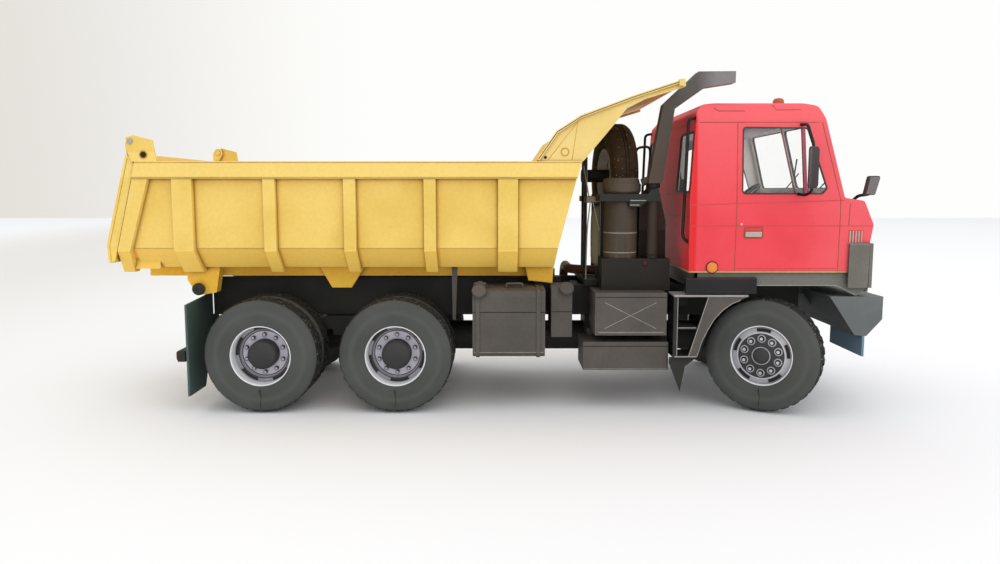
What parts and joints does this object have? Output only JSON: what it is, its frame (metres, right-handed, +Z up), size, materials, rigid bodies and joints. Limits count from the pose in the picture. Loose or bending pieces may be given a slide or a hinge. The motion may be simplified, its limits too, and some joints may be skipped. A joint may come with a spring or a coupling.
{
  "type": "card model of a tipper dump truck",
  "caption": "Card model of a three-axle tipper truck: red cab, yellow ribbed tipping bed with hinged tailgate, steered front wheels and twin rear wheels.",
  "frame": {"origin": "centre of the model's outline on the surface its wheels stand on", "axes": "+X forward, +Y the truck's left, +Z up"},
  "size_m": [0.2346, 0.0936, 0.1038],
  "materials": {
    "black_card": "matt printed card, charcoal",
    "bumper_card": "matt printed card, dark grey",
    "black_wire": "thin blackened wire",
    "rim_card": "matt printed card, light grey with black",
    "tyre_card": "matt card with a rough rolled tread",
    "brown_card": "matt card, rust brown",
    "grey_card": "matt card, grey",
    "red_card": "matt printed card, red",
    "clear_film": "thin clear film",
    "yellow_card": "matt printed card, warm yellow"
  },
  "bodies": {
    "chassis": {"chassis_frame": "black_card", "backbone_tube": "black_card", "engine_block": "black_card", "half_axles": "black_card", "leaf_springs": "black_card", "spare_tyre": "tyre_card", "spare_rim": "rim_card", "spare_carrier": "black_card", "fuel_tank": "black_card", "small_tank": "black_card", "battery_box": "black_card", "tool_box": "black_card", "air_cleaner": "black_card", "intake_snorkel": "black_card", "exhaust": "brown_card", "air_tanks": "black_card", "rear_flaps": "black_card", "underrun_bar": "black_card", "cab_steps": "black_card", "bumper": "bumper_card", "cab_body": "red_card", "cab_front": "red_card", "cab_skirt": "black_card", "cab_windows": "clear_film", "seats": "black_card", "dashboard": "black_card", "mirrors": "black_wire", "grab_rails": "black_wire"},
    "front_right_hub": {"knuckle_right": "black_card"},
    "front_left_hub": {"knuckle_left": "black_card"},
    "front_right_wheel": {"wheel_front_right": "rim_card", "tyre_front_right": "tyre_card"},
    "front_left_wheel": {"wheel_front_left": "rim_card", "tyre_front_left": "tyre_card"},
    "middle_right_wheel": {"wheel_middle_right": "rim_card", "tyres_middle_right": "tyre_card"},
    "middle_left_wheel": {"wheel_middle_left": "rim_card", "tyres_middle_left": "tyre_card"},
    "rear_right_wheel": {"wheel_rear_right": "rim_card", "tyres_rear_right": "tyre_card"},
    "rear_left_wheel": {"wheel_rear_left": "rim_card", "tyres_rear_left": "tyre_card"},
    "bed": {"bed_tub": "yellow_card", "bed_ribs": "yellow_card", "bed_canopy": "yellow_card", "bed_beams": "yellow_card", "bed_stay": "grey_card"},
    "gate": {"tailgate": "yellow_card"},
    "ram_base": {"ram_barrels": "brown_card"},
    "ram_lower": {"ram_stage_1": "grey_card"},
    "ram_upper": {"ram_stage_2": "grey_card"},
    "ram_top": {"ram_rods": "grey_card"}
  },
  "joints": [
    {"name": "steer_right", "type": "hinge", "parent": "chassis", "child": "front_right_hub", "pos_m": [0.084, -0.032, 0.0176], "axis": [0, 0, 1], "range_deg": [-1, 59]},
    {"name": "steer_left", "type": "hinge", "parent": "chassis", "child": "front_left_hub", "pos_m": [0.084, 0.032, 0.0176], "axis": [0, 0, 1], "range_deg": [-1, 59]},
    {"name": "front_right_spin", "type": "hinge", "parent": "front_right_hub", "child": "front_right_wheel", "pos_m": [0.084, -0.032, 0.0176], "axis": [0.4848, 0.8746, 0], "continuous": true},
    {"name": "front_left_spin", "type": "hinge", "parent": "front_left_hub", "child": "front_left_wheel", "pos_m": [0.084, 0.032, 0.0176], "axis": [0.4848, 0.8746, 0], "continuous": true},
    {"name": "middle_right_spin", "type": "hinge", "parent": "chassis", "child": "middle_right_wheel", "pos_m": [-0.031, -0.0289, 0.0176], "axis": [0, 1, 0], "continuous": true},
    {"name": "middle_left_spin", "type": "hinge", "parent": "chassis", "child": "middle_left_wheel", "pos_m": [-0.031, 0.0289, 0.0176], "axis": [0, 1, 0], "continuous": true},
    {"name": "rear_right_spin", "type": "hinge", "parent": "chassis", "child": "rear_right_wheel", "pos_m": [-0.07225, -0.0289, 0.0176], "axis": [0, 1, 0], "continuous": true},
    {"name": "rear_left_spin", "type": "hinge", "parent": "chassis", "child": "rear_left_wheel", "pos_m": [-0.07225, 0.0289, 0.0176], "axis": [0, 1, 0], "continuous": true},
    {"name": "bed_tip", "type": "hinge", "parent": "chassis", "child": "bed", "pos_m": [-0.0936, 0, 0.0372], "axis": [0, -1, 0], "range_deg": [0, 48]},
    {"name": "tailgate_swing", "type": "hinge", "parent": "bed", "child": "gate", "pos_m": [-0.1084, 0, 0.0824], "axis": [0, 1, 0], "range_deg": [0, 70]},
    {"name": "ram_swing", "type": "hinge", "parent": "chassis", "child": "ram_base", "pos_m": [-0.04135, 0, 0.02084], "axis": [0, -1, 0], "range_deg": [0, 24]},
    {"name": "ram_stage_1_slide", "type": "slide", "parent": "ram_base", "child": "ram_lower", "axis": [0.1147, 0, 0.9934], "range_m": [0, 0.014]},
    {"name": "ram_stage_2_slide", "type": "slide", "parent": "ram_lower", "child": "ram_upper", "axis": [0.1147, 0, 0.9934], "range_m": [0, 0.014]},
    {"name": "ram_rod_slide", "type": "slide", "parent": "ram_upper", "child": "ram_top", "axis": [0.1147, 0, 0.9934], "range_m": [0, 0.014]}
  ],
  "couplings": [
    {"joint": "steer_left", "follows": "steer_right", "ratio": 1},
    {"joint": "ram_swing", "follows": "bed_tip", "ratio": 0.5},
    {"joint": "ram_stage_1_slide", "follows": "bed_tip", "m_per_rad": 0.01671},
    {"joint": "ram_stage_2_slide", "follows": "bed_tip", "m_per_rad": 0.01671},
    {"joint": "ram_rod_slide", "follows": "bed_tip", "m_per_rad": 0.01671}
  ]
}
